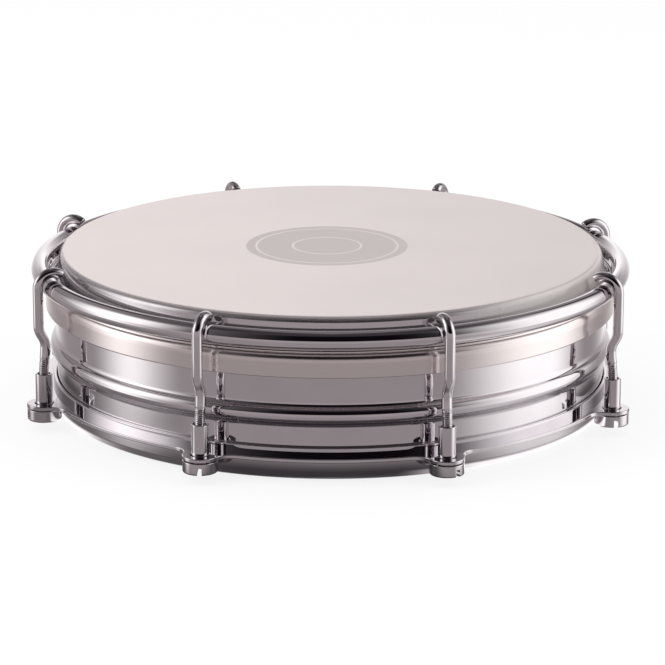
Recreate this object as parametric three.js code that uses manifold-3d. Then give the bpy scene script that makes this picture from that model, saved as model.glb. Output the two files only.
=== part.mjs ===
// Tamborim: a six inch metal-shell hand drum with one head, tuned by eight claw hooks.
// Millimetres, +Z up. The origin is the centre of the bottom face that the drum rests on.

import * as THREE from "three";
import { mergeVertices } from "three/addons/utils/BufferGeometryUtils.js";
import Module from "manifold-3d";

const wasm = await Module();
wasm.setup();

// Shell: a rolled steel tube with one pressed bead, its top leaned in to a round bearing edge.
const shellRadius = 76.2;
const shellWall = 1.2;
const drumHeight = 43.5;
const bearingEdgeReach = 2.8;
const bearingEdgeRounding = 1.55;
const bearingLeanDepth = 7.05;
const bearingLeanAngle = 14;
const beadHeight = 17.3;
const beadHalfWidth = 3.2;
const beadDepth = 1.8;

// Head: a plastic film whose edge is set in the slot of an aluminium flesh hoop.
const filmThickness = 0.3;
const filmClearance = 0.15;
const collarDepth = 8.3;
const slotClearance = 0.1;
const fleshHoopDepth = 6.9;
const fleshInnerWall = 0.6;
const fleshOuterWall = 1.2;
const fleshSlotWidth = 0.5;
const fleshFloor = 0.8;
const fleshWallStep = 1.55;
const fleshTaper = 0.85;
const fleshTaperHeight = 2.0;

// Counter hoop: a pressing ledge and an outward rolled bead of one sheet.
const hoopSheet = 1.0;
const hoopClearance = 0.2;
const hoopBend = 0.6;
const ledgeReach = 1.0;
const curlRadius = 2.3;
const curlRise = 3.7;
const curlFlat = 0.5;
const curlFlatAngle = 26;
const curlEndAngle = -108;

// Lug ring: a pressed ring round the shell's foot, with a flange and ears.
const lugCount = 8;
const firstLugAngle = 22.5;
const ringSheet = 1.0;
const ringClearance = 0.2;
const ringCornerRounding = 2.5;
const ringLipWidth = 1.9;
const bandAboveFlange = 2.0;
const flangeUnderside = 5.85;
const flangeThickness = 1.05;
const flangeReach = 3.2;
const lugReach = 5.9;
const earRadius = 4.75;
const earFilletRadius = 4.7;

// Tension hook: round wire bent into a claw, with a joggle above its threaded end.
const wireDiameter = 2.8;
const clawClearance = 0.45;
const clawTipClearance = 0.3;
const joggleAboveNut = 7.6;
const joggleHeight = 5.5;
const rodBow = 0.6;
const bowAboveNut = 0.4;

// Tuning nut: a barrel with a blind bore and a slotted head.
const nutHeadDiameter = 9.3;
const nutHeadThickness = 3.2;
const nutHeadRounding = 0.5;
const nutClearance = 0.3;
const barrelWall = 0.55;
const barrelLength = 9.65;
const boreClearance = 0.35;
const slotWidth = 1.2;
const slotDepth = 2.1;
const slotToBore = 0.7;

// Compass heading of each nut's screwdriver slot, in degrees, lug by lug.
const slotHeadings = [64, 12, 131, 98, -156, -90, -50, -77];

const cutOverrun = 1.0;
const turns = 64;

// Places that follow from the sizes above.
const shellBottom = ringCornerRounding;
const shellTop = drumHeight - filmThickness - filmClearance;
const crestRadius = shellRadius - bearingEdgeReach;
const crestHeight = shellTop - bearingEdgeRounding;
const leanFoot = shellTop - bearingLeanDepth;
const collarInner = shellRadius + filmClearance;
const collarOuter = collarInner + filmThickness;
const fleshInner = collarOuter + slotClearance;
const slotInner = fleshInner + fleshInnerWall;
const slotOuter = slotInner + fleshSlotWidth;
const fleshOuter = slotOuter + fleshOuterWall;
const ledgeHeight = drumHeight - collarDepth;
const fleshTop = ledgeHeight - hoopClearance;
const fleshBottom = fleshTop - fleshHoopDepth;
const fleshInnerTop = fleshTop - fleshWallStep;
const fleshSlotBottom = fleshBottom + fleshFloor;
const hoopOuter = fleshOuter;
const hoopInner = hoopOuter - hoopSheet;
const curlCentre = hoopInner + curlRadius;
const curlHeight = ledgeHeight + curlRise;
const ringInner = shellRadius + ringClearance;
const ringOuter = ringInner + ringSheet;
const ringCornerCentre = ringOuter - ringCornerRounding;
const flangeOuter = ringOuter + flangeReach;
const ringTop = flangeUnderside + flangeThickness + bandAboveFlange;
const lugCentre = ringOuter + lugReach;
const wireRadius = wireDiameter / 2;
const clawRadius = curlRadius + clawClearance + wireRadius;
const legCentre = curlCentre + clawRadius;
const nutHeadTop = flangeUnderside - nutClearance;
const nutHeadBottom = nutHeadTop - nutHeadThickness;
const barrelTop = nutHeadTop + barrelLength;
const boreRadius = wireRadius + boreClearance;
const boreFloor = nutHeadBottom + slotDepth + slotToBore;
const barrelRadius = boreRadius + barrelWall;
const earHoleRadius = barrelRadius + nutClearance;

const chrome = new THREE.MeshStandardMaterial({ color: 0xc9c2c4, roughness: 0.12, metalness: 1.0 });
const aluminium = new THREE.MeshStandardMaterial({ color: 0xb4b1b0, roughness: 0.4, metalness: 1.0 });
const whiteFilm = new THREE.MeshStandardMaterial({ color: 0xe9dedb, roughness: 0.55, metalness: 0.0 });

const radians = THREE.MathUtils.degToRad;
const degrees = THREE.MathUtils.radToDeg;

// Points along an arc about (x, y), both ends included, angles in degrees.
function arc(x, y, radius, fromAngle, toAngle, steps) {
  const points = [];
  for (let step = 0; step <= steps; step++) {
    const angle = radians(fromAngle + (toAngle - fromAngle) * step / steps);
    points.push(new THREE.Vector2(x + radius * Math.cos(angle), y + radius * Math.sin(angle)));
  }
  return points;
}

// A ring or disc turned about the drum's axis, from points (radius, height).
// The points run anticlockwise, with the axis on their left side.
function turned(profile, segments = turns) {
  const geometry = new THREE.LatheGeometry(profile, segments);
  geometry.rotateX(Math.PI / 2);
  return geometry;
}

// A closed profile: the first point is repeated at the end.
function closedLoop(points) {
  return [...points, points[0].clone()];
}

function solidFrom(geometry) {
  const bare = geometry.clone();
  bare.deleteAttribute("normal");
  bare.deleteAttribute("uv");
  const merged = mergeVertices(bare);
  return new wasm.Manifold(new wasm.Mesh({
    numProp: 3,
    vertProperties: new Float32Array(merged.attributes.position.array),
    triVerts: new Uint32Array(merged.index.array),
  }));
}

function geometryFrom(solid) {
  const mesh = solid.getMesh();
  const geometry = new THREE.BufferGeometry();
  geometry.setAttribute("position", new THREE.BufferAttribute(mesh.vertProperties, 3));
  geometry.setIndex(new THREE.BufferAttribute(mesh.triVerts, 1));
  geometry.computeVertexNormals();
  return geometry;
}

const tamborim = new THREE.Group();

function addPiece(name, geometry, material, parent = tamborim) {
  const mesh = new THREE.Mesh(geometry, material);
  mesh.name = name;
  parent.add(mesh);
  return mesh;
}

// The bead is an arc through its two feet and its crest, worked out from its width and depth.
function beadArc(wallRadius, halfWidth, steps) {
  const radius = (halfWidth ** 2 + beadDepth ** 2) / (2 * beadDepth);
  const halfAngle = degrees(Math.atan2(halfWidth, radius - beadDepth));
  return arc(wallRadius + beadDepth - radius, beadHeight, radius, -halfAngle, halfAngle, steps);
}

function makeShell() {
  const shellInner = shellRadius - shellWall;
  const outside = [
    new THREE.Vector2(shellRadius, shellBottom),
    ...beadArc(shellRadius, beadHalfWidth, 6),
    new THREE.Vector2(shellRadius, leanFoot),
    ...arc(crestRadius, crestHeight, bearingEdgeRounding, bearingLeanAngle, 90, 4),
  ];
  const grooveHalfWidth = beadHalfWidth - shellWall / 2;
  const inside = [
    ...arc(crestRadius, crestHeight, bearingEdgeRounding - shellWall, 90, bearingLeanAngle, 2),
    new THREE.Vector2(shellInner, leanFoot),
    ...beadArc(shellInner, grooveHalfWidth, 4).reverse(),
    new THREE.Vector2(shellInner, shellBottom),
  ];
  return turned(closedLoop([...outside, ...inside]));
}

function makeHeadFilm() {
  const innerRounding = bearingEdgeRounding + filmClearance;
  const outerRounding = innerRounding + filmThickness;
  const filmTurn = fleshInnerTop + filmClearance;
  const filmEdge = fleshSlotBottom + filmClearance;
  const legInner = slotInner + slotClearance;
  const legOuter = legInner + filmThickness;
  const profile = [
    new THREE.Vector2(0, drumHeight - filmThickness),
    ...arc(crestRadius, crestHeight, innerRounding, 90, bearingLeanAngle, 4),
    new THREE.Vector2(collarInner, leanFoot),
    new THREE.Vector2(collarInner, filmTurn),
    new THREE.Vector2(legInner, filmTurn),
    new THREE.Vector2(legInner, filmEdge),
    new THREE.Vector2(legOuter, filmEdge),
    new THREE.Vector2(legOuter, filmTurn + filmThickness),
    new THREE.Vector2(collarOuter, filmTurn + filmThickness),
    new THREE.Vector2(collarOuter, leanFoot),
    ...arc(crestRadius, crestHeight, outerRounding, bearingLeanAngle, 90, 4),
    new THREE.Vector2(0, drumHeight),
  ];
  return turned(profile);
}

function makeFleshHoop() {
  return turned(closedLoop([
    new THREE.Vector2(fleshInner, fleshBottom),
    new THREE.Vector2(fleshOuter, fleshBottom),
    new THREE.Vector2(fleshOuter, fleshTop - fleshTaperHeight),
    new THREE.Vector2(fleshOuter - fleshTaper, fleshTop),
    new THREE.Vector2(slotOuter, fleshTop),
    new THREE.Vector2(slotOuter, fleshSlotBottom),
    new THREE.Vector2(slotInner, fleshSlotBottom),
    new THREE.Vector2(slotInner, fleshInnerTop),
    new THREE.Vector2(fleshInner, fleshInnerTop),
  ]));
}

function makeCounterHoop() {
  const ledgeInner = hoopInner - ledgeReach;
  const innerCurl = curlRadius - hoopSheet;
  const lean = THREE.MathUtils.degToRad(curlFlatAngle);
  const lowX = curlCentre + curlFlat * Math.sin(lean);
  const lowZ = curlHeight - curlFlat * Math.cos(lean);
  const profile = [
    new THREE.Vector2(ledgeInner, ledgeHeight),
    new THREE.Vector2(hoopOuter - hoopBend, ledgeHeight),
    new THREE.Vector2(hoopOuter, ledgeHeight + hoopBend),
    ...arc(curlCentre, curlHeight, innerCurl, 180, curlFlatAngle, 4),
    ...arc(lowX, lowZ, innerCurl, curlFlatAngle, curlEndAngle, 4),
    ...arc(lowX, lowZ, curlRadius, curlEndAngle, curlFlatAngle, 5),
    ...arc(curlCentre, curlHeight, curlRadius, curlFlatAngle, 180, 6),
    new THREE.Vector2(hoopInner, ledgeHeight + hoopSheet),
    new THREE.Vector2(ledgeInner, ledgeHeight + hoopSheet),
  ];
  return turned(closedLoop(profile));
}

// The flange seen from above: a circle with a rounded ear at each lug, run in with hollow fillets.
function flangeOutline() {
  const filletReach = flangeOuter + earFilletRadius;
  const earReach = earRadius + earFilletRadius;
  const filletCosine = (filletReach ** 2 + lugCentre ** 2 - earReach ** 2) / (2 * filletReach * lugCentre);
  const filletAngle = degrees(Math.acos(filletCosine));
  const filletX = filletReach * Math.cos(radians(filletAngle));
  const filletY = filletReach * Math.sin(radians(filletAngle));
  const meetAngle = degrees(Math.atan2(filletY, filletX - lugCentre));
  const half = [
    ...arc(lugCentre, 0, earRadius, 0, meetAngle, 5),
    ...arc(filletX, filletY, earFilletRadius, meetAngle - 180, filletAngle - 180, 3).slice(1),
  ];
  const mirrored = half.slice(1).reverse().map((point) => new THREE.Vector2(point.x, -point.y));
  const ear = [...mirrored, ...half];
  const lugPitch = 360 / lugCount;
  const edge = arc(0, 0, flangeOuter, filletAngle, lugPitch - filletAngle, 5).slice(1, -1);
  const outline = [];
  for (let lug = 0; lug < lugCount; lug++) {
    const angle = radians(firstLugAngle + lug * lugPitch);
    for (const point of [...ear, ...edge]) {
      outline.push(point.clone().rotateAround(new THREE.Vector2(), angle));
    }
  }
  return outline;
}

function makeLugRing() {
  const ringInnerRounding = ringCornerRounding - ringSheet;
  const lipInner = ringCornerCentre - ringLipWidth;
  const band = turned(closedLoop([
    new THREE.Vector2(lipInner, 0),
    ...arc(ringCornerCentre, ringCornerRounding, ringCornerRounding, -90, 0, 4),
    new THREE.Vector2(ringOuter, ringTop),
    new THREE.Vector2(ringInner, ringTop),
    ...arc(ringCornerCentre, ringCornerRounding, ringInnerRounding, 0, -90, 3),
    new THREE.Vector2(lipInner, ringSheet),
  ]));

  const shape = new THREE.Shape(flangeOutline());
  shape.holes.push(new THREE.Path(arc(0, 0, ringOuter - ringSheet / 2, 0, 360, turns).slice(0, -1)));
  for (let lug = 0; lug < lugCount; lug++) {
    const angle = radians(firstLugAngle + lug * 360 / lugCount);
    const x = lugCentre * Math.cos(angle);
    const y = lugCentre * Math.sin(angle);
    shape.holes.push(new THREE.Path(arc(x, y, earHoleRadius, 0, 360, 12).slice(0, -1)));
  }
  const flange = new THREE.ExtrudeGeometry(shape, { depth: flangeThickness, bevelEnabled: false });
  flange.translate(0, 0, flangeUnderside);
  return geometryFrom(solidFrom(band).add(solidFrom(flange)));
}

// Points down a bend that leaves and arrives upright.
function easedLine(fromX, fromZ, toX, toZ, steps) {
  const points = [];
  for (let step = 0; step <= steps; step++) {
    const share = step / steps;
    const ease = (1 - Math.cos(Math.PI * share)) / 2;
    points.push(new THREE.Vector2(fromX + (toX - fromX) * ease, fromZ + (toZ - fromZ) * share));
  }
  return points;
}

// The line down the middle of a hook's wire, in the plane of its lug: x outwards, z up.
function hookLine() {
  const bowCentre = lugCentre - rodBow;
  const joggleBottom = barrelTop + joggleAboveNut;
  const joggleTop = joggleBottom + joggleHeight;
  const bowBottom = barrelTop + bowAboveNut;
  const tipReach = curlCentre - collarOuter - clawTipClearance;
  const tipAngle = degrees(Math.asin(tipReach / (clawRadius + wireRadius)));
  const points = arc(curlCentre, curlHeight, clawRadius, 90 + tipAngle, 0, 8);
  points.push(...easedLine(legCentre, joggleTop, bowCentre, joggleBottom, 6));
  points.push(...easedLine(bowCentre, joggleBottom, lugCentre, bowBottom, 4).slice(1));
  points.push(new THREE.Vector2(lugCentre, boreFloor + nutClearance));
  return points.map((point) => new THREE.Vector3(point.x, 0, point.y));
}

// A bent wire: straight from point to point, with a section at each of them.
class BentLine extends THREE.Curve {
  constructor(points) {
    super();
    this.points = points;
  }

  getPoint(t, target = new THREE.Vector3()) {
    const last = this.points.length - 1;
    const index = Math.min(Math.floor(t * last), last - 1);
    return target.lerpVectors(this.points[index], this.points[index + 1], t * last - index);
  }

  getUtoTmapping(u) {
    return u;
  }
}

function makeHook() {
  const points = hookLine();
  const section = new THREE.Shape(arc(0, 0, wireRadius, 0, 360, 8).slice(0, -1));
  return new THREE.ExtrudeGeometry(section, {
    steps: points.length - 1,
    extrudePath: new BentLine(points),
    bevelEnabled: false,
  });
}

// The nut stands at its own axis, and its slot runs along X.
function makeNut() {
  const headRadius = nutHeadDiameter / 2;
  const body = turned([
    new THREE.Vector2(0, nutHeadBottom),
    new THREE.Vector2(headRadius - nutHeadRounding, nutHeadBottom),
    new THREE.Vector2(headRadius, nutHeadBottom + nutHeadRounding),
    new THREE.Vector2(headRadius, nutHeadTop),
    new THREE.Vector2(barrelRadius, nutHeadTop),
    new THREE.Vector2(barrelRadius, barrelTop),
    new THREE.Vector2(boreRadius, barrelTop),
    new THREE.Vector2(boreRadius, boreFloor),
    new THREE.Vector2(0, boreFloor),
  ], 16);
  const slotLength = nutHeadDiameter + 2 * cutOverrun;
  const slot = new THREE.BoxGeometry(slotLength, slotWidth, slotDepth + cutOverrun);
  slot.translate(0, 0, nutHeadBottom + (slotDepth - cutOverrun) / 2);
  return geometryFrom(solidFrom(body).subtract(solidFrom(slot)));
}

addPiece("shell", makeShell(), chrome);
addPiece("head_film", makeHeadFilm(), whiteFilm);
addPiece("flesh_hoop", makeFleshHoop(), aluminium);
addPiece("counter_hoop", makeCounterHoop(), chrome);
addPiece("lug_ring", makeLugRing(), chrome);

const hookGeometry = makeHook();
const nutGeometry = makeNut();
for (let lug = 0; lug < lugCount; lug++) {
  const lugAngle = radians(firstLugAngle + lug * 360 / lugCount);
  const station = new THREE.Group();
  station.rotation.z = lugAngle;
  tamborim.add(station);
  addPiece(`tension_hook_${lug + 1}`, hookGeometry, chrome, station);
  const nut = addPiece(`tuning_nut_${lug + 1}`, nutGeometry, chrome, station);
  nut.position.x = lugCentre;
  nut.rotation.z = radians(slotHeadings[lug]) - lugAngle;
}

export default tamborim;
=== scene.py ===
import math

import bmesh
import bpy
from mathutils import Matrix, Vector


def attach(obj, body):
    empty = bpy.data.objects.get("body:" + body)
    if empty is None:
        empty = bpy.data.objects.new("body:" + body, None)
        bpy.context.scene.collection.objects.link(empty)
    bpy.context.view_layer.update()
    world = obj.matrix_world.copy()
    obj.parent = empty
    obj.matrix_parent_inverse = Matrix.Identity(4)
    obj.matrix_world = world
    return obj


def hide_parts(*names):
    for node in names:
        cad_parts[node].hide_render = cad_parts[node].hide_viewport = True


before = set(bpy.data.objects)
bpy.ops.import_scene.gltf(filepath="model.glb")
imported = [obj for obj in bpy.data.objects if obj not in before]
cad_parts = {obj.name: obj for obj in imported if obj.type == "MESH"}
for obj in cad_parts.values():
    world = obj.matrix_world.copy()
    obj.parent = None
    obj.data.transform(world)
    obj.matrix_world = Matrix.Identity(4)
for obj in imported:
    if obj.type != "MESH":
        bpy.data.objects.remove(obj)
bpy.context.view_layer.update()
scene = bpy.context.scene

# The camera: a long lens a metre away, a little above the drum and square to its front.
# Its shift and small roll set the drum in the frame as the photograph has it.
camera_aim = Vector((0, 0, 0.022))
camera_distance = 0.93270
camera_heading = math.radians(-88.710)
camera_elevation = math.radians(15.352)
camera_roll = math.radians(0.120)
toward_camera = Vector((math.cos(camera_elevation) * math.cos(camera_heading),
                        math.cos(camera_elevation) * math.sin(camera_heading),
                        math.sin(camera_elevation)))
camera = bpy.data.objects.new("camera", bpy.data.cameras.new("camera"))
scene.collection.objects.link(camera)
camera.data.sensor_width = 36
camera.data.lens = 180.78
camera.data.shift_x = 0.003126
camera.data.shift_y = -0.018471
camera.location = camera_aim + camera_distance * toward_camera
looking = (-toward_camera).to_track_quat("-Z", "Y").to_matrix().to_4x4()
camera.rotation_euler = (looking @ Matrix.Rotation(camera_roll, 4, "Z")).to_euler()
scene.camera = camera
scene.view_settings.view_transform = "Standard"


# The shell: a welded tube of steel sheet with one bead rolled outwards round its middle, its upper part
# leaned in to a round bearing edge for the head. It is nickel plated, then chromed and polished all over.
MM = 0.001
SHELL_RADIUS = 76.2
SHELL_WALL = 1.2
SHELL_BOTTOM = 2.5
SHELL_TOP = 43.05
BEARING_EDGE_ROUNDING = 1.55
BEARING_CREST = 73.4
LEAN_FOOT = 36.0
LEAN_SLOPE = 0.2215
LEAN_BEND = 6.0
FOOT_ROUNDING = 0.15
BEAD_HEIGHT = 17.3
BEAD_CREST_RADIUS = 2.6
BEAD_FILLET_RADIUS = 1.6
BEAD_CREST_CENTRE = 75.4
BEAD_FILLET_CENTRE = SHELL_RADIUS + BEAD_FILLET_RADIUS


class Wire:
    """A socket of a material's nodes that is reckoned with as a number: each operator adds a Math node."""

    def __init__(self, tree, socket=None):
        self.tree = tree
        self.socket = socket

    def node(self, kind, settings=None, inputs=None, output=0):
        made = self.tree.nodes.new(kind)
        for name, value in (settings or {}).items():
            setattr(made, name, value)
        for name, value in (inputs or {}).items():
            if isinstance(value, Wire):
                self.tree.links.new(value.socket, made.inputs[name])
            else:
                made.inputs[name].default_value = value
        return Wire(self.tree, made.outputs[output] if made.outputs else None)

    def other(self, output):
        return Wire(self.tree, self.socket.node.outputs[output])

    def maths(self, operation, *values):
        return self.node("ShaderNodeMath", {"operation": operation}, dict(enumerate(values)))

    def __add__(self, value):
        return self.maths("ADD", self, value)

    def __sub__(self, value):
        return self.maths("SUBTRACT", self, value)

    def __rsub__(self, value):
        return self.maths("SUBTRACT", value, self)

    def __mul__(self, value):
        return self.maths("MULTIPLY", self, value)

    __radd__ = __add__
    __rmul__ = __mul__

    def larger(self, value):
        return self.maths("MAXIMUM", self, value)

    def rise(self, low, high):
        """0 below low, 1 above high and smooth between them."""
        limits = {"Value": self, "From Min": low, "From Max": high}
        return self.node("ShaderNodeMapRange", {"interpolation_type": "SMOOTHSTEP"}, limits)

    def between(self, low, high, edge):
        """1 from low to high, with soft edges that reach this far to either side of them."""
        return self.rise(low - edge, low + edge) * (1 - self.rise(high - edge, high + edge))

    def mixed(self, first, second):
        """A colour that goes from first to second as this goes from 0 to 1."""
        colours = {"Factor": self, 6: first, 7: second}
        return self.node("ShaderNodeMix", {"data_type": "RGBA"}, colours, output=2)


def new_finish(name):
    finish = bpy.data.materials.new(name)
    finish.use_nodes = True
    finish.node_tree.nodes.clear()
    return finish, Wire(finish.node_tree)


def chrome_finish(name, colour, least_roughness=0.025, smudges=0.05, grain=4e-7, waves=3e-5):
    """Polished chrome plate: fine polishing lines that run round the drum, faint smudges, a slow waviness."""
    finish, start = new_finish(name)
    place = start.node("ShaderNodeTexCoord", output="Object")
    split = place.node("ShaderNodeSeparateXYZ", inputs={0: place})
    x, y, z = split, split.other("Y"), split.other("Z")
    reach = place.maths("SQRT", x * x + y * y)
    heading = place.maths("ARCTAN2", y, x)
    along = place.node("ShaderNodeCombineXYZ", inputs={0: heading * 0.9, 1: reach * 1300.0, 2: z * 1300.0})
    lines = place.node("ShaderNodeTexNoise", inputs={"Vector": along, "Scale": 1.0, "Detail": 3.0})
    slow = place.node("ShaderNodeTexNoise", inputs={"Vector": place, "Scale": 17.0, "Detail": 1.0})
    cloud = place.node("ShaderNodeTexNoise", inputs={"Vector": place, "Scale": 60.0, "Detail": 5.0})
    bend = place.node("ShaderNodeBump", inputs={"Strength": 1.0, "Distance": 1.0,
                                                "Height": lines * grain + slow * waves})
    dark = tuple(0.93 * part for part in colour[:3]) + (1.0,)
    surface = {"Base Color": cloud.rise(0.35, 0.75).mixed(colour, dark), "Metallic": 1.0,
               "Roughness": cloud.rise(0.45, 0.85) * smudges + least_roughness, "Normal": bend}
    place.node("ShaderNodeOutputMaterial", inputs={0: place.node("ShaderNodeBsdfPrincipled", inputs=surface)})
    return finish


def arc(centre, radius, first, last, steps):
    """Corners along an arc in the plane across the drum's axis, from one angle in degrees to another."""
    angles = [math.radians(first + (last - first) * step / steps) for step in range(steps + 1)]
    return [(centre[0] + radius * math.cos(a), centre[1] + radius * math.sin(a), 0) for a in angles]


def outline(corners, closed=True, turn=12, shoulder=0.12):
    """A line through corners (across, up, rounding). A rounded corner becomes an arc of short steps, and a
    long straight run gets a point close to each end, which keeps its shading flat up to there."""
    line = []
    for index, (across, up, rounding) in enumerate(corners):
        here = Vector((across, up))
        if rounding == 0:
            line.append(here)
            continue
        back = (Vector(corners[index - 1][:2]) - here).normalized()
        ahead = (Vector(corners[(index + 1) % len(corners)][:2]) - here).normalized()
        half = back.angle(ahead) / 2
        centre = here + (back + ahead).normalized() * rounding / math.sin(half)
        start = here + back * rounding / math.tan(half) - centre
        end = here + ahead * rounding / math.tan(half) - centre
        sweep = math.copysign(math.pi - 2 * half, start.cross(end))
        steps = max(2, round(math.degrees(abs(sweep)) / turn))
        line += [centre + Matrix.Rotation(sweep * step / steps, 2) @ start for step in range(steps + 1)]
    full = []
    pairs = zip(line, line[1:] + line[:1]) if closed else zip(line, line[1:])
    for here, following in pairs:
        run = following - here
        full.append(here)
        if run.length > 5 * shoulder:
            full += [here + run.normalized() * shoulder, following - run.normalized() * shoulder]
    return full if closed else full + line[-1:]


def choose(piece, kind, wanted):
    """In edit mode, selects just the vertices, edges or faces that wanted() picks."""
    bpy.ops.mesh.select_mode(type={"verts": "VERT", "edges": "EDGE", "faces": "FACE"}[kind])
    bpy.ops.mesh.select_all(action="DESELECT")
    mesh = bmesh.from_edit_mesh(piece.data)
    for part in getattr(mesh, kind):
        if wanted(part):
            part.select_set(True)
    bmesh.update_edit_mesh(piece.data)


def drawn(name, points, closed=True):
    """A line drawn by extruding one vertex from point to point, in mm. It stays open for editing."""
    bpy.ops.object.select_all(action="DESELECT")
    bpy.ops.mesh.primitive_plane_add(size=MM)
    piece = bpy.context.object
    piece.name = piece.data.name = name
    bpy.ops.object.mode_set(mode="EDIT")
    bpy.ops.mesh.select_mode(type="VERT")
    bpy.ops.mesh.select_all(action="SELECT")
    bpy.ops.mesh.merge(type="CENTER")
    bpy.ops.transform.translate(value=points[0] * MM)
    for here, following in zip(points, points[1:]):
        bpy.ops.mesh.extrude_region_move(TRANSFORM_OT_translate={"value": (following - here) * MM})
    if closed:
        last = len(points) - 1
        choose(piece, "verts", lambda vertex: vertex.index in (0, last))
        bpy.ops.mesh.edge_face_add()
    return piece


def closed_up(piece, smooth=40):
    """Doubles merged, faces turned outwards, and edges under this many degrees shaded smooth."""
    bpy.ops.mesh.select_all(action="SELECT")
    bpy.ops.mesh.remove_doubles(threshold=0.002 * MM)
    bpy.ops.mesh.normals_make_consistent(inside=False)
    bpy.ops.object.mode_set(mode="OBJECT")
    bpy.ops.object.shade_smooth_by_angle(angle=math.radians(smooth))
    return piece


def turned(name, line, closed=True, steps=288):
    """A line of (radius, height) points spun round the drum's axis."""
    piece = drawn(name, [Vector((point.x, 0, point.y)) for point in line], closed)
    bpy.ops.mesh.select_all(action="SELECT")
    bpy.ops.mesh.spin(steps=steps, angle=math.tau, center=(0, 0, 0), axis=(0, 0, 1))
    return closed_up(piece)


def bead_line(crest_radius, fillet_radius):
    """The bead's line from below it to above it, on the outside or the inside of the wall."""
    rise = math.sqrt((crest_radius + fillet_radius) ** 2 - (BEAD_FILLET_CENTRE - BEAD_CREST_CENTRE) ** 2)
    meet = math.degrees(math.atan2(rise, BEAD_FILLET_CENTRE - BEAD_CREST_CENTRE))
    below = arc((BEAD_FILLET_CENTRE, BEAD_HEIGHT - rise), fillet_radius, 180, 180 - meet, 10)
    crest = arc((BEAD_CREST_CENTRE, BEAD_HEIGHT), crest_radius, -meet, meet, 22)
    above = arc((BEAD_FILLET_CENTRE, BEAD_HEIGHT + rise), fillet_radius, 180 + meet, 180, 10)
    return below + crest[1:-1] + above


def leaned(radius, height, inset=0):
    """The radius of a wall that leans in above LEAN_FOOT, at a height and this far in from its outer face."""
    return radius - (height - LEAN_FOOT) * LEAN_SLOPE - inset * math.hypot(1, LEAN_SLOPE)


shell_inner = SHELL_RADIUS - SHELL_WALL
edge_underside = SHELL_TOP - SHELL_WALL
shell_wall = turned("shell_wall", outline([
    (SHELL_RADIUS, SHELL_BOTTOM, FOOT_ROUNDING),
    *bead_line(BEAD_CREST_RADIUS, BEAD_FILLET_RADIUS),
    (SHELL_RADIUS, LEAN_FOOT, LEAN_BEND),
    (leaned(SHELL_RADIUS, SHELL_TOP), SHELL_TOP, BEARING_EDGE_ROUNDING),
    (BEARING_CREST, SHELL_TOP, 0),
    (BEARING_CREST, edge_underside, 0),
    (leaned(SHELL_RADIUS, edge_underside, SHELL_WALL), edge_underside, BEARING_EDGE_ROUNDING - SHELL_WALL),
    (shell_inner, LEAN_FOOT, LEAN_BEND),
    *reversed(bead_line(BEAD_CREST_RADIUS - SHELL_WALL, BEAD_FILLET_RADIUS + SHELL_WALL)),
    (shell_inner, SHELL_BOTTOM, FOOT_ROUNDING),
]))
shell_wall.data.materials.append(chrome_finish("shell_chrome", (0.80, 0.77, 0.79, 1.0)))
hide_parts("shell")
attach(shell_wall, "drum")


# The head: one sheet of clear polyester film, formed with a collar that runs down outside the shell and turns
# out into the flesh hoop's slot. Its playing face is sprayed with a white grained coat that ends just past
# the bearing edge's crest, with painted shade that darkens it towards the right side. Below it, on that side,
# the clear collar has a painted highlight that makes it paler and less clear.
FILM = 0.3
HEAD_TOP = 43.5
COLLAR_RADIUS = 76.65
SHOULDER_ROUNDING = 2.0
FILM_TURN = 33.6
FILM_EDGE = 29.05
LEG_RADIUS = 77.75
COAT_EDGE = 74.3
DOT_RADIUS = 22.4
DOT_RINGS = (9.2, 19.3)
DOT_RING_WIDTH = 0.6
# The second coat colour is painted shade for the coat's right side.
COAT_COLOUR = (0.672, 0.607, 0.593, 1.0)
COAT_IN_PAINTED_SHADE = (0.574, 0.518, 0.507, 1.0)
DOT_CENTRE = -1.0
DOT_COLOUR = (0.460, 0.405, 0.405, 1.0)
COLLAR_COLOUR = (0.50, 0.46, 0.47, 1.0)
# The collar's second colour is a painted highlight for its right side.
COLLAR_PAINTED_HIGHLIGHT = (0.95, 0.89, 0.87, 1.0)

head_rings = [70, 60, 45, 30, 15, 5]
batter_head = turned("batter_head", outline([
    (0, HEAD_TOP - FILM, 0),
    *[(radius, HEAD_TOP - FILM, 0) for radius in reversed(head_rings)],
    (leaned(COLLAR_RADIUS, HEAD_TOP - FILM, FILM), HEAD_TOP - FILM, SHOULDER_ROUNDING - FILM),
    (COLLAR_RADIUS - FILM, LEAN_FOOT, LEAN_BEND),
    (COLLAR_RADIUS - FILM, FILM_TURN, 0.3),
    (LEG_RADIUS - FILM, FILM_TURN, 0.15),
    (LEG_RADIUS - FILM, FILM_EDGE, 0.1),
    (LEG_RADIUS, FILM_EDGE, 0.1),
    (LEG_RADIUS, FILM_TURN + FILM, 0.3),
    (COLLAR_RADIUS, FILM_TURN + FILM, 0.15),
    (COLLAR_RADIUS, LEAN_FOOT, LEAN_BEND),
    (leaned(COLLAR_RADIUS, HEAD_TOP), HEAD_TOP, SHOULDER_ROUNDING),
    *[(radius, HEAD_TOP, 0) for radius in head_rings],
    (0, HEAD_TOP, 0),
], closed=False), closed=False)


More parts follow.
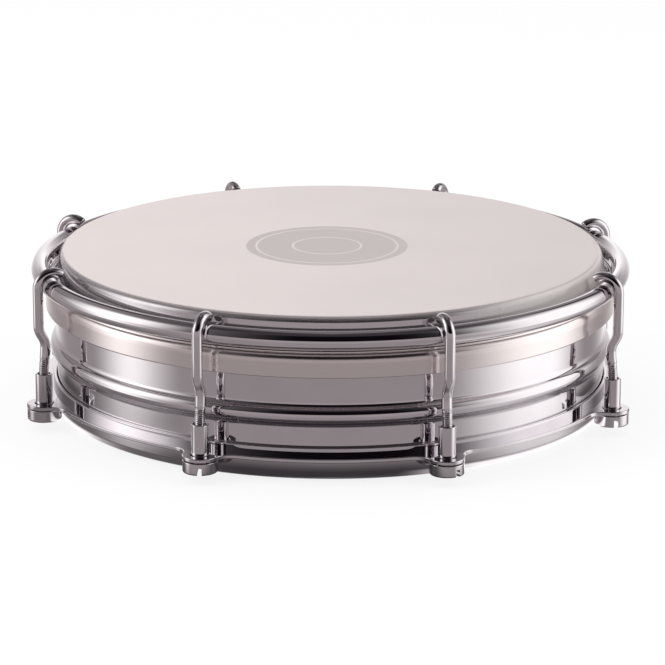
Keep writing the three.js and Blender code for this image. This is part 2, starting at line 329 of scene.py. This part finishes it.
def film_finish():
    finish, start = new_finish("coated_film")
    place = start.node("ShaderNodeTexCoord", output="Object")
    split = place.node("ShaderNodeSeparateXYZ", inputs={0: place})
    x, y, z = split, split.other("Y"), split.other("Z")
    reach = place.maths("SQRT", x * x + y * y) * (1 / MM)
    coat = 1 - reach.rise(COAT_EDGE - 0.5, COAT_EDGE + 0.4)
    top = z.rise((HEAD_TOP - 0.2) * MM, (HEAD_TOP - 0.1) * MM)
    aside = x - DOT_CENTRE * MM
    out = place.maths("SQRT", aside * aside + y * y) * (1 / MM)
    dot = (1 - out.rise(DOT_RADIUS - 0.12, DOT_RADIUS + 0.12)) * top
    inner, outer = [out.between(ring, ring + DOT_RING_WIDTH, 0.1) for ring in DOT_RINGS]
    cloud = place.node("ShaderNodeTexNoise", inputs={"Vector": place, "Scale": 30.0, "Detail": 4.0})
    grain = place.node("ShaderNodeTexNoise", inputs={"Vector": place, "Scale": 5200.0, "Detail": 2.0})
    speck = place.node("ShaderNodeTexNoise", inputs={"Vector": place, "Scale": 1500.0, "Detail": 2.0})
    # Painted shade: the coat darkens towards the right (+x), with a faint random mottle on top.
    painted_shade_and_mottle = x.rise(-0.085, 0.085) + (cloud.rise(0.3, 0.7) - 0.5) * 0.2
    white = painted_shade_and_mottle.mixed(COAT_COLOUR, COAT_IN_PAINTED_SHADE)
    printed = (dot * (1 - (outer + inner)) * (speck.rise(0.2, 0.5) * 0.12 + 0.88)).mixed(white, DOT_COLOUR)
    # Painted highlight: the clear collar turns paler and less clear towards the right (+x).
    painted_highlight_side = x.rise(0.025, 0.060)
    colour = coat.mixed(painted_highlight_side.mixed(COLLAR_COLOUR, COLLAR_PAINTED_HIGHLIGHT), printed)
    edge = place.node("ShaderNodeLayerWeight", inputs={"Blend": 0.35}, output="Fresnel")
    rough = coat * (0.46 - 0.3 * (1 - top)) + 0.06
    relief = grain * top * coat * 1.5e-5 + speck * top * coat * 1e-5
    bump = place.node("ShaderNodeBump", inputs={"Strength": 0.5, "Distance": 1.0, "Height": relief})
    veil = edge * 0.1 + z.rise(0.0422, 0.0434) * 0.12 + painted_highlight_side * 0.42 + 0.04
    surface = {"Base Color": colour, "Roughness": rough, "Normal": bump, "IOR": 1.6,
               "Alpha": coat.larger(veil)}
    place.node("ShaderNodeOutputMaterial", inputs={0: place.node("ShaderNodeBsdfPrincipled", inputs=surface)})
    return finish


batter_head.data.materials.append(film_finish())
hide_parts("head_film")
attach(batter_head, "drum")


# The flesh hoop: a slotted aluminium extrusion bent into a ring, its outer wall rolled in a little at the top
# to hold the film's edge in its slot. It is the satin band that the counter hoop's ledge presses down.
FLESH_INNER = 76.75
FLESH_OUTER = 79.05
FLESH_BOTTOM = 28.1
FLESH_TOP = 35.0
FLESH_INNER_TOP = 33.45
FLESH_SLOT = (77.35, 77.85)
FLESH_SLOT_FLOOR = 28.9
ROLLED_CENTRE = (75.2, 32.1)
ROLLED_RADIUS = 3.85
ROLLED_END = (78.1, FLESH_TOP)
BAND_SHEEN = (0.93, 0.865, 0.845, 1.0)
BAND_DULL = (0.86, 0.795, 0.775, 1.0)
flesh_ring = turned("flesh_ring", outline([
    (FLESH_INNER, FLESH_BOTTOM, 0.25),
    (FLESH_OUTER, FLESH_BOTTOM, 0.35),
    *arc(ROLLED_CENTRE, ROLLED_RADIUS, 0, 41, 10),
    (*ROLLED_END, 0.1),
    (FLESH_SLOT[1], FLESH_TOP, 0.12),
    (FLESH_SLOT[1], FLESH_SLOT_FLOOR, 0.08),
    (FLESH_SLOT[0], FLESH_SLOT_FLOOR, 0.08),
    (FLESH_SLOT[0], FLESH_INNER_TOP, 0.15),
    (FLESH_INNER, FLESH_INNER_TOP, 0.15),
]))


def strip_finish():
    finish, start = new_finish("hoop_aluminium")
    place = start.node("ShaderNodeTexCoord", output="Object")
    split = place.node("ShaderNodeSeparateXYZ", inputs={0: place})
    x, y, z = split, split.other("Y"), split.other("Z")
    heading = place.maths("ARCTAN2", y, x)
    along = place.node("ShaderNodeCombineXYZ", inputs={0: heading * 6.0, 1: z * 5000.0})
    rolled_lines = place.node("ShaderNodeTexNoise", inputs={"Vector": along, "Scale": 1.0, "Detail": 4.0})
    relief = rolled_lines * 5e-7
    bump = place.node("ShaderNodeBump", inputs={"Strength": 0.6, "Distance": 1.0, "Height": relief})
    surface = {"Base Color": rolled_lines.mixed(BAND_DULL, BAND_SHEEN), "Metallic": 1.0,
               "Roughness": rolled_lines * 0.08 + 0.14, "Normal": bump}
    place.node("ShaderNodeOutputMaterial", inputs={0: place.node("ShaderNodeBsdfPrincipled", inputs=surface)})
    return finish


flesh_ring.data.materials.append(strip_finish())
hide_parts("flesh_hoop")
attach(flesh_ring, "drum")


# The counter hoop: a steel pressing with a ledge that bears on the flesh hoop, a short wall, and an upper
# edge rolled outwards into a round bead that the hooks claw over. Chromed.
HOOP_INNER = 78.05
HOOP_OUTER = 79.05
LEDGE_INNER = 77.05
LEDGE_BOTTOM = 35.2
LEDGE_TOP = 36.2
CURL_CENTRE = (80.35, 38.9)
CURL_RADIUS = 2.3
CURL_INNER_RADIUS = 1.3
CURL_END = -108
CURL_FLAT = 0.5
CURL_FLAT_ANGLE = 26
CURL_LIP_ROUNDING = 0.25
lean = math.radians(CURL_FLAT_ANGLE)
curl_low = (CURL_CENTRE[0] + CURL_FLAT * math.sin(lean), CURL_CENTRE[1] - CURL_FLAT * math.cos(lean))
curl_lip = [arc(curl_low, radius, CURL_END, CURL_END, 1)[0][:2] + (CURL_LIP_ROUNDING,)
            for radius in (CURL_INNER_RADIUS, CURL_RADIUS)]

counter_hoop_roll = turned("counter_hoop_roll", outline([
    (LEDGE_INNER, LEDGE_BOTTOM, 0.15),
    (HOOP_OUTER, LEDGE_BOTTOM, 1.2),
    *arc(CURL_CENTRE, CURL_INNER_RADIUS, 180, CURL_FLAT_ANGLE, 18),
    *arc(curl_low, CURL_INNER_RADIUS, CURL_FLAT_ANGLE, CURL_END + 20, 14),
    *curl_lip,
    *arc(curl_low, CURL_RADIUS, CURL_END + 16, CURL_FLAT_ANGLE, 20),
    *arc(CURL_CENTRE, CURL_RADIUS, CURL_FLAT_ANGLE, 180, 26),
    (HOOP_INNER, LEDGE_TOP, 0.5),
    (LEDGE_INNER, LEDGE_TOP, 0.3),
]))
counter_hoop_roll.data.materials.append(chrome_finish("hoop_chrome", (0.81, 0.78, 0.80, 1.0)))
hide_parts("counter_hoop")
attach(counter_hoop_roll, "drum")


# The lug ring: a steel band turned in under the shell's lower edge, with a flat plate welded round it whose
# eight rounded ears are bored for the tuning nuts. The drum stands on its lip. Chromed after welding.
LUGS = 8
FIRST_LUG = 22.5
LUG_CENTRE = 83.3
BAND_OUTER = 77.4
BAND_INNER = 76.4
BAND_TOP = 8.9
BAND_CORNER = (74.9, 2.5)
LIP_INNER = 73.0
PLATE_RADIUS = 80.6
PLATE_BOTTOM = 5.85
PLATE_THICKNESS = 1.05
EAR_RADIUS = 4.75
EAR_FILLET_RADIUS = 4.7
EAR_HOLE_RADIUS = 2.6


def lug_turn(lug):
    """The turn about the drum's axis that takes the first compass point to a lug."""
    return Matrix.Rotation(math.radians(FIRST_LUG + lug * 360 / LUGS), 4, "Z")


def pick(piece):
    bpy.ops.object.select_all(action="DESELECT")
    piece.select_set(True)
    bpy.context.view_layer.objects.active = piece


def applied(piece, kind, **settings):
    """A modifier put on a piece and applied."""
    pick(piece)
    modifier = piece.modifiers.new(kind.lower(), kind)
    for name, value in settings.items():
        setattr(modifier, name, value)
    bpy.ops.object.modifier_apply(modifier=modifier.name)


def cut(piece, cutter, operation="DIFFERENCE"):
    """Takes one piece from another, or joins it on, and clears it away."""
    applied(piece, "BOOLEAN", object=cutter, operation=operation, solver="EXACT")
    bpy.data.objects.remove(cutter)


def peg(radius, low, high, across=0, vertices=64):
    """A plain cylinder that cuts a hole."""
    bpy.ops.object.select_all(action="DESELECT")
    bpy.ops.mesh.primitive_cylinder_add(vertices=vertices, radius=radius * MM, depth=(high - low) * MM,
                                        location=(across * MM, 0, (low + high) / 2 * MM))
    bpy.ops.object.transform_apply(location=True)
    return bpy.context.object


def plate_edge():
    """The plate seen from above: its round edge runs into each ear by a hollow fillet."""
    fillet_reach = PLATE_RADIUS + EAR_FILLET_RADIUS
    ear_reach = EAR_RADIUS + EAR_FILLET_RADIUS
    turn = math.acos((fillet_reach ** 2 + LUG_CENTRE ** 2 - ear_reach ** 2) / (2 * fillet_reach * LUG_CENTRE))
    fillet = (fillet_reach * math.cos(turn), fillet_reach * math.sin(turn))
    meet = math.degrees(math.atan2(fillet[1], fillet[0] - LUG_CENTRE))
    turn = math.degrees(turn)
    half = arc((LUG_CENTRE, 0), EAR_RADIUS, 0, meet, 16)
    half += arc(fillet, EAR_FILLET_RADIUS, meet - 180, turn - 180, 8)[1:]
    ear = [(x, -y) for x, y, _ in reversed(half[1:])] + [(x, y) for x, y, _ in half]
    rim = [(x, y) for x, y, _ in arc((0, 0), PLATE_RADIUS, turn, 360 / LUGS - turn, 20)[1:-1]]
    edge = []
    for lug in range(LUGS):
        spin = Matrix.Rotation(math.radians(FIRST_LUG + lug * 360 / LUGS), 2)
        edge += [(spin @ Vector(point)).to_3d() + Vector((0, 0, PLATE_BOTTOM)) for point in ear + rim]
    return edge


ring_plate = drawn("lug_ring_plate", plate_edge())
bpy.ops.mesh.select_all(action="SELECT")
bpy.ops.mesh.edge_face_add()
bpy.ops.mesh.extrude_region_move(TRANSFORM_OT_translate={"value": (0, 0, PLATE_THICKNESS * MM)})
closed_up(ring_plate)
hole_low, hole_high = PLATE_BOTTOM - 1, PLATE_BOTTOM + PLATE_THICKNESS + 1
for lug in range(LUGS):
    hole = peg(EAR_HOLE_RADIUS, hole_low, hole_high, across=LUG_CENTRE, vertices=40)
    hole.data.transform(lug_turn(lug))
    cut(ring_plate, hole)
pick(ring_plate)
bpy.ops.object.mode_set(mode="EDIT")
choose(ring_plate, "edges", lambda edge: edge.is_manifold and edge.calc_face_angle() > 1.2
       and abs(edge.verts[0].co.z - edge.verts[1].co.z) < 0.01 * MM)
bpy.ops.mesh.bevel(offset=0.2 * MM, segments=3)
bpy.ops.object.mode_set(mode="OBJECT")
cut(ring_plate, peg((BAND_INNER + BAND_OUTER) / 2, hole_low, hole_high, vertices=288))

lug_ring_band = turned("lug_ring_band", outline([
    (LIP_INNER, 0, 0.2),
    *arc(BAND_CORNER, 2.5, -90, 0, 14),
    (BAND_OUTER, BAND_TOP, 0.3),
    (BAND_INNER, BAND_TOP, 0.3),
    *arc(BAND_CORNER, 1.5, 0, -90, 10),
    (LIP_INNER, 1.0, 0.2),
]))
cut(lug_ring_band, ring_plate, "UNION")
pick(lug_ring_band)
bpy.ops.object.mode_set(mode="EDIT")
closed_up(lug_ring_band)
applied(lug_ring_band, "WEIGHTED_NORMAL", keep_sharp=True)
lug_ring_band.data.materials.clear()
ring_chrome = chrome_finish("ring_chrome", (0.79, 0.76, 0.78, 1.0), least_roughness=0.03)
lug_ring_band.data.materials.append(ring_chrome)
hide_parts("lug_ring")
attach(lug_ring_band, "drum")


# The tension hooks: steel wire, bent into a claw over the hoop's bead, joggled in below the flesh hoop to the
# line of the nut, with a rolled thread at the lower end. Chromed; each hangs on the hoop, screwed down.
WIRE_RADIUS = 1.4
LEG_CENTRE = 84.5
CLAW_RADIUS = LEG_CENTRE - CURL_CENTRE[0]
CLAW_TIP = 127.8
JOGGLE_TOP = 28.3
JOGGLE_BOTTOM = 22.8
ROD_BOW = 0.6
BOW_BOTTOM = 15.6
THREAD_TOP = 19.6
THREAD_PITCH = 0.5
THREAD_DEPTH = 0.28
ROD_END = 5.45


def hook_stations():
    """The wire's middle line from the claw's tip to the start of the thread, in the plane of its lug."""
    claw = arc(CURL_CENTRE, CLAW_RADIUS, CLAW_TIP, 0, 36)
    bend = 2 * math.atan((LEG_CENTRE - LUG_CENTRE) / (JOGGLE_TOP - JOGGLE_BOTTOM))
    radius = (JOGGLE_TOP - JOGGLE_BOTTOM) / (2 * math.sin(bend))
    bend = math.degrees(bend)
    inwards = arc((LEG_CENTRE - radius, JOGGLE_TOP), radius, 0, -bend, 6)
    outwards = arc((LUG_CENTRE + radius, JOGGLE_BOTTOM), radius, 180 - bend, 180, 6)
    rod = [(LUG_CENTRE, JOGGLE_BOTTOM + (THREAD_TOP - JOGGLE_BOTTOM) * step / 6, 0) for step in range(1, 7)]
    return [Vector((x, 0, z)) for x, z, _ in claw + inwards + outwards[1:] + rod]


def wire_drawn(name, stations, radius, sides=28):
    """A wire drawn along stations in the XZ plane: a disc is extruded from each to the next, and turned to
    face along the wire there."""
    bpy.ops.object.select_all(action="DESELECT")
    bpy.ops.mesh.primitive_circle_add(vertices=sides, radius=radius * MM, fill_type="NGON")
    piece = bpy.context.object
    piece.name = piece.data.name = name
    bpy.ops.object.mode_set(mode="EDIT")
    bpy.ops.mesh.select_all(action="SELECT")
    steps = [following - here for here, following in zip(stations, stations[1:])]
    facing = [one.normalized() + two.normalized() for one, two in zip(steps, steps[1:])]
    facing = [steps[0], *facing, steps[-1]]
    tilts = [math.atan2(-way.x, -way.z) for way in facing]
    place = stations[0] * MM
    bpy.ops.transform.translate(value=place)
    bpy.ops.transform.rotate(value=-tilts[0], orient_axis="Y", center_override=place)
    for index, step in enumerate(steps):
        bpy.ops.mesh.extrude_region_move(TRANSFORM_OT_translate={"value": step * MM})
        place = stations[index + 1] * MM
        turn = tilts[index] - tilts[index + 1]
        bpy.ops.transform.rotate(value=turn, orient_axis="Y", center_override=place)
    return piece


hook = wire_drawn("claw_hook", hook_stations(), WIRE_RADIUS)
thread_rings = round((THREAD_TOP - ROD_END) / THREAD_PITCH * 4)
bpy.ops.mesh.extrude_region_move(TRANSFORM_OT_translate={"value": (0, 0, (ROD_END - THREAD_TOP) * MM)})
choose(hook, "edges", lambda edge: max(v.co.z for v in edge.verts) < (THREAD_TOP + 0.01) * MM
       and abs(edge.verts[0].co.z - edge.verts[1].co.z) > 5 * MM)
bpy.ops.mesh.subdivide_edgering(number_cuts=thread_rings - 1)
mesh = bmesh.from_edit_mesh(hook.data)
for vertex in mesh.verts:
    if vertex.co.z < (THREAD_TOP - 0.01) * MM:
        height = vertex.co.z / MM
        across = Vector((vertex.co.x - LUG_CENTRE * MM, vertex.co.y))
        turns = height / THREAD_PITCH - math.atan2(across.y, across.x) / math.tau
        groove = abs(2 * (turns - math.floor(turns)) - 1)
        run_out = min(1, (THREAD_TOP - height) / THREAD_PITCH, (height - ROD_END + 0.3) / 0.8)
        across *= 1 - THREAD_DEPTH / WIRE_RADIUS * groove * run_out
        vertex.co.x, vertex.co.y = LUG_CENTRE * MM + across.x, across.y
for vertex in mesh.verts:
    height = vertex.co.z / MM
    limit = JOGGLE_TOP if height > JOGGLE_BOTTOM else BOW_BOTTOM
    share = max(0, (limit - height) / (limit - JOGGLE_BOTTOM))
    vertex.co.x -= ROD_BOW * MM * (1 - math.cos(math.pi * share)) / 2
bmesh.update_edit_mesh(hook.data)
choose(hook, "edges", lambda edge: edge.is_manifold and edge.calc_face_angle() > 1.2
       and (edge.verts[0].co - hook_stations()[0] * MM).length < 1.6 * MM)
bpy.ops.mesh.bevel(offset=0.35 * MM, segments=4)
closed_up(hook, smooth=50)
hook_chrome = chrome_finish("hook_chrome", (0.80, 0.77, 0.79, 1.0), least_roughness=0.04, waves=6e-6)
hook.data.materials.append(hook_chrome)

for lug in range(LUGS):
    claw_hook = bpy.data.objects.new(f"claw_hook_{lug + 1}", hook.data.copy())
    scene.collection.objects.link(claw_hook)
    claw_hook.data.transform(lug_turn(lug))
    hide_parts(f"tension_hook_{lug + 1}")
    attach(claw_hook, f"hook_{lug + 1}")
bpy.data.objects.remove(hook)


# The tuning nuts: long barrels turned from steel bar, put up through the ears from below, with a round head
# that has a screwdriver slot across it and a blind threaded bore for the hook. Chromed.
HEAD_RADIUS = 4.65
HEAD_BOTTOM = 2.35
HEAD_SHOULDER = 5.55
BARREL_RADIUS = 2.3
BARREL_TOP = 15.2
BORE_RADIUS = 1.75
BORE_FLOOR = 5.15
SLOT_WIDTH = 1.2
SLOT_DEPTH = 2.1
SLOT_HEADINGS = [64, 12, 131, 98, -156, -90, -50, -77]

nut = turned("barrel_nut", outline([
    (0, HEAD_BOTTOM, 0),
    (HEAD_RADIUS, HEAD_BOTTOM, 0.5),
    (HEAD_RADIUS, HEAD_SHOULDER, 0.15),
    (BARREL_RADIUS, HEAD_SHOULDER, 0.1),
    (BARREL_RADIUS, BARREL_TOP, 0.2),
    (BORE_RADIUS, BARREL_TOP, 0.12),
    (BORE_RADIUS, BORE_FLOOR, 0.3),
    (0, BORE_FLOOR, 0),
], closed=False), closed=False, steps=72)
bpy.ops.object.select_all(action="DESELECT")
bpy.ops.mesh.primitive_cube_add(size=1, location=(0, 0, HEAD_BOTTOM * MM),
                                scale=(3 * HEAD_RADIUS * MM, SLOT_WIDTH * MM, 2 * SLOT_DEPTH * MM))
bpy.ops.object.transform_apply(location=True, scale=True)
cut(nut, bpy.context.object)
pick(nut)
bpy.ops.object.mode_set(mode="EDIT")
slot_side = (SLOT_WIDTH / 2 + 0.01) * MM
choose(nut, "edges", lambda edge: edge.is_manifold and edge.calc_face_angle() > 0.5
       and max(abs(v.co.y) for v in edge.verts) < slot_side
       and min(abs(v.co.y) for v in edge.verts) > slot_side - 0.02 * MM
       and max(v.co.z for v in edge.verts) < (HEAD_BOTTOM + SLOT_DEPTH - 0.01) * MM)
bpy.ops.mesh.bevel(offset=0.1 * MM, segments=2)
closed_up(nut, smooth=35)
applied(nut, "WEIGHTED_NORMAL", keep_sharp=True)
nut.data.materials.clear()
nut_chrome = chrome_finish("nut_chrome", (0.79, 0.76, 0.78, 1.0), least_roughness=0.05, waves=6e-6)
nut.data.materials.append(nut_chrome)

for lug, heading in enumerate(SLOT_HEADINGS):
    station = lug_turn(lug) @ Vector((LUG_CENTRE * MM, 0, 0))
    barrel_nut = bpy.data.objects.new(f"barrel_nut_{lug + 1}", nut.data.copy())
    scene.collection.objects.link(barrel_nut)
    barrel_nut.data.transform(Matrix.Translation(station) @ Matrix.Rotation(math.radians(heading), 4, "Z"))
    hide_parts(f"tuning_nut_{lug + 1}")
    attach(barrel_nut, f"nut_{lug + 1}")
bpy.data.objects.remove(nut)


# The studio: a pale table that keeps the drum's soft shadow, an even white surround, three soft lamps, and a
# tent whose bright panels and dark gaps only the chrome sees, as they are hung round polished metal.
def light_share(start):
    """1 for what the camera, the chrome and clear film see, 0 for the light that falls on the drum."""
    path = start.node("ShaderNodeLightPath")
    seen = path.other("Is Camera Ray").larger(path.other("Is Glossy Ray"))
    return seen.larger(path.other("Is Transmission Ray"))


world = bpy.data.worlds.new("surround")
scene.world = world
world.use_nodes = True
world.node_tree.nodes.clear()
sky = Wire(world.node_tree)
fill_light = sky.node("ShaderNodeBackground", inputs={"Color": (1, 1, 1, 1), "Strength": 0.55})
white_light = sky.node("ShaderNodeBackground", inputs={"Color": (1, 1, 1, 1), "Strength": 1.0})
sky.node("ShaderNodeOutputWorld", inputs={0: sky.node(
    "ShaderNodeMixShader", inputs={0: light_share(sky), 1: fill_light, 2: white_light})})

bpy.ops.object.select_all(action="DESELECT")
bpy.ops.mesh.primitive_plane_add(size=8, location=(0, 0, -0.0004))
table = bpy.context.object
table.name = "table"
white_table, start = new_finish("white_table")
cloth = start.node("ShaderNodeBsdfDiffuse", inputs={"Color": (0.9, 0.9, 0.9, 1)})
glow = start.node("ShaderNodeEmission", inputs={"Color": (1, 1, 1, 1), "Strength": 1.0})
start.node("ShaderNodeOutputMaterial", inputs={0: start.node(
    "ShaderNodeMixShader", inputs={0: light_share(start) * 0.86, 1: cloth, 2: glow})})
table.data.materials.append(white_table)
table.visible_glossy = False


def only_in_chrome(piece, finish):
    """A stage piece that shows in reflections alone."""
    piece.data.materials.append(finish)
    piece.visible_camera = piece.visible_diffuse = piece.visible_shadow = False
    piece.visible_transmission = piece.visible_volume_scatter = False


NEAR_GREY = (0.320, 0.291, 0.299, 1.0)
FAR_GREY = (0.385, 0.348, 0.358, 1.0)
BLACK_CLOTH = (0.0045, 0.0030, 0.0045, 1.0)
DIM_ROOF = (0.048, 0.042, 0.048, 1.0)
SIDE_GLOW = (0.262, 0.240, 0.248, 1.0)
BACKDROP = (1.32, 1.29, 1.30, 1.0)
LEFT_PANEL = (1.66, 1.63, 1.63, 1.0)
LEFT_FLOOR = (0.355, 0.333, 0.340, 1.0)
RIGHT_PANEL = (1.30, 1.28, 1.28, 1.0)
RIGHT_FLOOR = (0.74, 0.71, 0.72, 1.0)
CONTACT_SHADE = (0.020, 0.017, 0.020, 1.0)

tent_finish, start = new_finish("studio_tent")
place = start.node("ShaderNodeTexCoord", output="Object")
split = place.node("ShaderNodeSeparateXYZ", inputs={0: place})
x, y, z = split, split.other("Y"), split.other("Z")
heading = place.maths("ARCTAN2", x, 0 - y) * (180 / math.pi)
aside = place.maths("ABSOLUTE", heading)
height = place.maths("ARCTAN2", z, place.maths("SQRT", x * x + y * y)) * (180 / math.pi)
spread = height.rise(2, 14) * 9
tent = height.rise(-16, -5).mixed(NEAR_GREY, FAR_GREY)
tent = height.rise(13, 17).mixed(tent, BLACK_CLOTH)
tent = height.rise(46, 64).mixed(tent, DIM_ROOF)
glow = place.maths("ABSOLUTE", heading - 8).rise(18, 106) * height.rise(13, 20) * (1 - height.rise(40, 69))
tent = glow.mixed(tent, SIDE_GLOW)
tent = (aside.rise(138, 188) * (1 - height.rise(14, 28))).mixed(tent, BACKDROP)
tent = (aside.rise(135, 165) * height.rise(54, 66) * 0.7).mixed(tent, SIDE_GLOW)
gap = heading.between(137, 151, 3) + heading.between(-167, -151, 3)
gap = gap * height.rise(20, 28) * (1 - height.rise(44, 52))
tent = gap.mixed(tent, DIM_ROOF)
left = (heading + spread).rise(-116, -80) * (1 - (heading - spread).rise(-98, -60))
left = left * (1 - height.rise(28, 50))
tent = left.mixed(tent, height.rise(-20, -15).mixed(LEFT_FLOOR, LEFT_PANEL))
right = heading.rise(44, 92) * (1 - (heading - spread).rise(102, 134)) * (1 - height.rise(31, 60))
tent = right.mixed(tent, height.rise(-20, -15).mixed(RIGHT_FLOOR, RIGHT_PANEL))
start.node("ShaderNodeOutputMaterial", inputs={0: start.node("ShaderNodeEmission", inputs={"Color": tent})})
bpy.ops.object.select_all(action="DESELECT")
bpy.ops.mesh.primitive_uv_sphere_add(segments=64, ring_count=32, radius=3)
only_in_chrome(bpy.context.object, tent_finish)
bpy.context.object.name = "studio_tent"

shade_finish, start = new_finish("contact_shade")
place = start.node("ShaderNodeTexCoord", output="Object")
split = place.node("ShaderNodeSeparateXYZ", inputs={0: place})
x, y = split, split.other("Y")
reach = place.maths("SQRT", x * x + y * y) * (1 / MM)
heading = place.maths("ARCTAN2", x, 0 - y) * (180 / math.pi)
aside = place.maths("ABSOLUTE", heading)
front = (1 - reach.rise(84, 101)) * (0.9 - aside.rise(15, 50) * 0.4 - heading.rise(15, 40) * 0.25)
flank = (1 - reach.rise(108, 136)) * heading.between(-84, -42, 7) * 0.36
notch = (1 - reach.rise(96, 106)) * aside.between(81, 98, 4) * 0.75
share = front.larger(flank).larger(notch)
glint = heading.rise(14, 34) + 1 - heading.rise(-62, -42)
glint = glint * (1 - reach.rise(78, 82)) * (1 - aside.rise(95, 110))
clear = start.node("ShaderNodeBsdfTransparent")
shade = start.node("ShaderNodeEmission", inputs={"Color": glint.mixed(CONTACT_SHADE, BACKDROP)})
start.node("ShaderNodeOutputMaterial", inputs={0: start.node(
    "ShaderNodeMixShader", inputs={0: share.larger(glint), 1: clear, 2: shade})})
bpy.ops.object.select_all(action="DESELECT")
bpy.ops.mesh.primitive_circle_add(vertices=96, radius=0.16, fill_type="NGON", location=(0, 0, -0.0002))
bpy.ops.object.transform_apply(location=True)
only_in_chrome(bpy.context.object, shade_finish)
bpy.context.object.name = "contact_shade"

lamps = (
    ("lamp_left", (-1.1, -0.5, 1.0), 0.9, 9.0),
    ("lamp_right", (1.1, -0.3, 1.0), 0.9, 5.0),
    ("lamp_top", (-0.1, 0.3, 1.5), 1.2, 9.0),
)
for name, place, size, power in lamps:
    lamp = bpy.data.objects.new(name, bpy.data.lights.new(name, "AREA"))
    scene.collection.objects.link(lamp)
    lamp.data.size = size
    lamp.data.energy = power
    lamp.location = place
    lamp.rotation_euler = (-Vector(place)).to_track_quat("-Z", "Y").to_euler()
    lamp.visible_glossy = False
